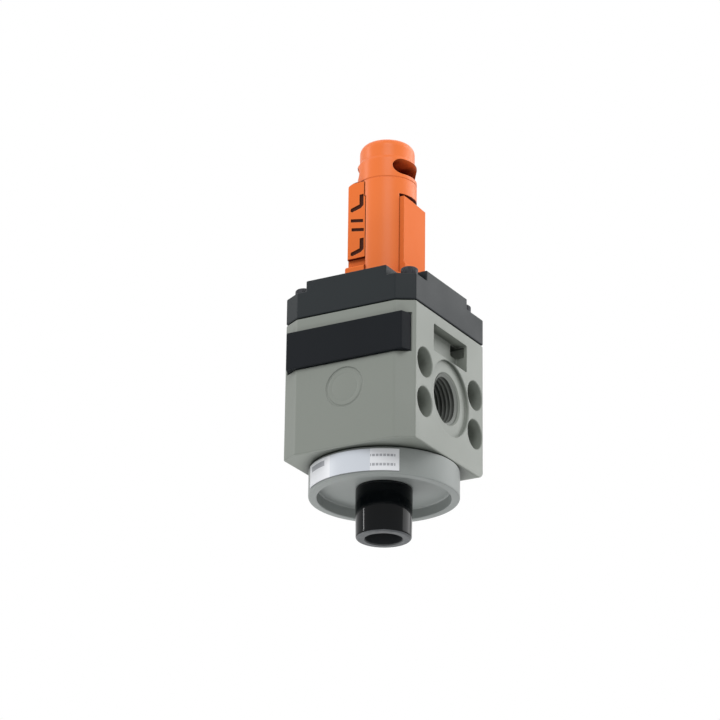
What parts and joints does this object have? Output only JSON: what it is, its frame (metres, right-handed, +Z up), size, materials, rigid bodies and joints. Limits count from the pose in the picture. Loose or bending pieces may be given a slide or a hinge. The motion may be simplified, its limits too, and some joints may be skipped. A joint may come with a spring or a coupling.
{
  "type": "lockable shut-off valve",
  "caption": "In-line shut-off valve for compressed air with a push-pull knob that takes a padlock and a threaded exhaust below.",
  "frame": {"origin": "centre of the open end of the exhaust fitting, at the bottom of the valve", "axes": "+Z up along the valve axis, -Y out of the front face, +X out of the outlet port"},
  "size_m": [0.0608, 0.0648, 0.1717],
  "materials": {
    "body_paint": "grey painted die casting",
    "flange_paint": "grey painted die casting",
    "cap_plastic": "anthracite moulded plastic",
    "plate_plastic": "black moulded plastic",
    "lock_plastic": "orange moulded plastic, satin",
    "fitting_plastic": "black moulded plastic, glossy",
    "label_film": "pale silver label film",
    "seal_rubber": "black rubber",
    "steel": "turned steel",
    "dark_steel": "blackened steel",
    "bronze": "sintered bronze",
    "brass": "machined brass"
  },
  "bodies": {
    "housing": {"valve_body": "body_paint", "top_cap": "cap_plastic", "cap_gasket": "seal_rubber", "front_plate": "plate_plastic", "lock_guard": "lock_plastic", "stem_bush": "bronze", "stem_seal": "seal_rubber", "valve_cage": "brass", "bottom_flange": "flange_paint", "flange_label": "label_film", "flange_seal": "seal_rubber", "exhaust_fitting": "fitting_plastic", "fitting_seal": "seal_rubber", "silencer_disc": "bronze", "cap_screw_1": "dark_steel", "guard_screw_1": "steel", "cap_screw_2": "dark_steel", "guard_screw_2": "steel", "cap_screw_3": "dark_steel", "guard_screw_3": "steel", "cap_screw_4": "dark_steel", "guard_screw_4": "steel", "cage_seal_1": "seal_rubber", "cage_seal_2": "seal_rubber", "cage_seal_3": "seal_rubber"},
    "plunger": {"lock_knob": "lock_plastic", "knob_pin": "steel", "stem": "steel", "stem_nut": "steel", "spool": "brass", "spool_seal_1": "seal_rubber", "spool_seal_2": "seal_rubber"}
  },
  "joints": [
    {"name": "plunger_slide", "type": "slide", "parent": "housing", "child": "plunger", "axis": [0, 0, 1], "range_m": [0, 0.015]}
  ]
}
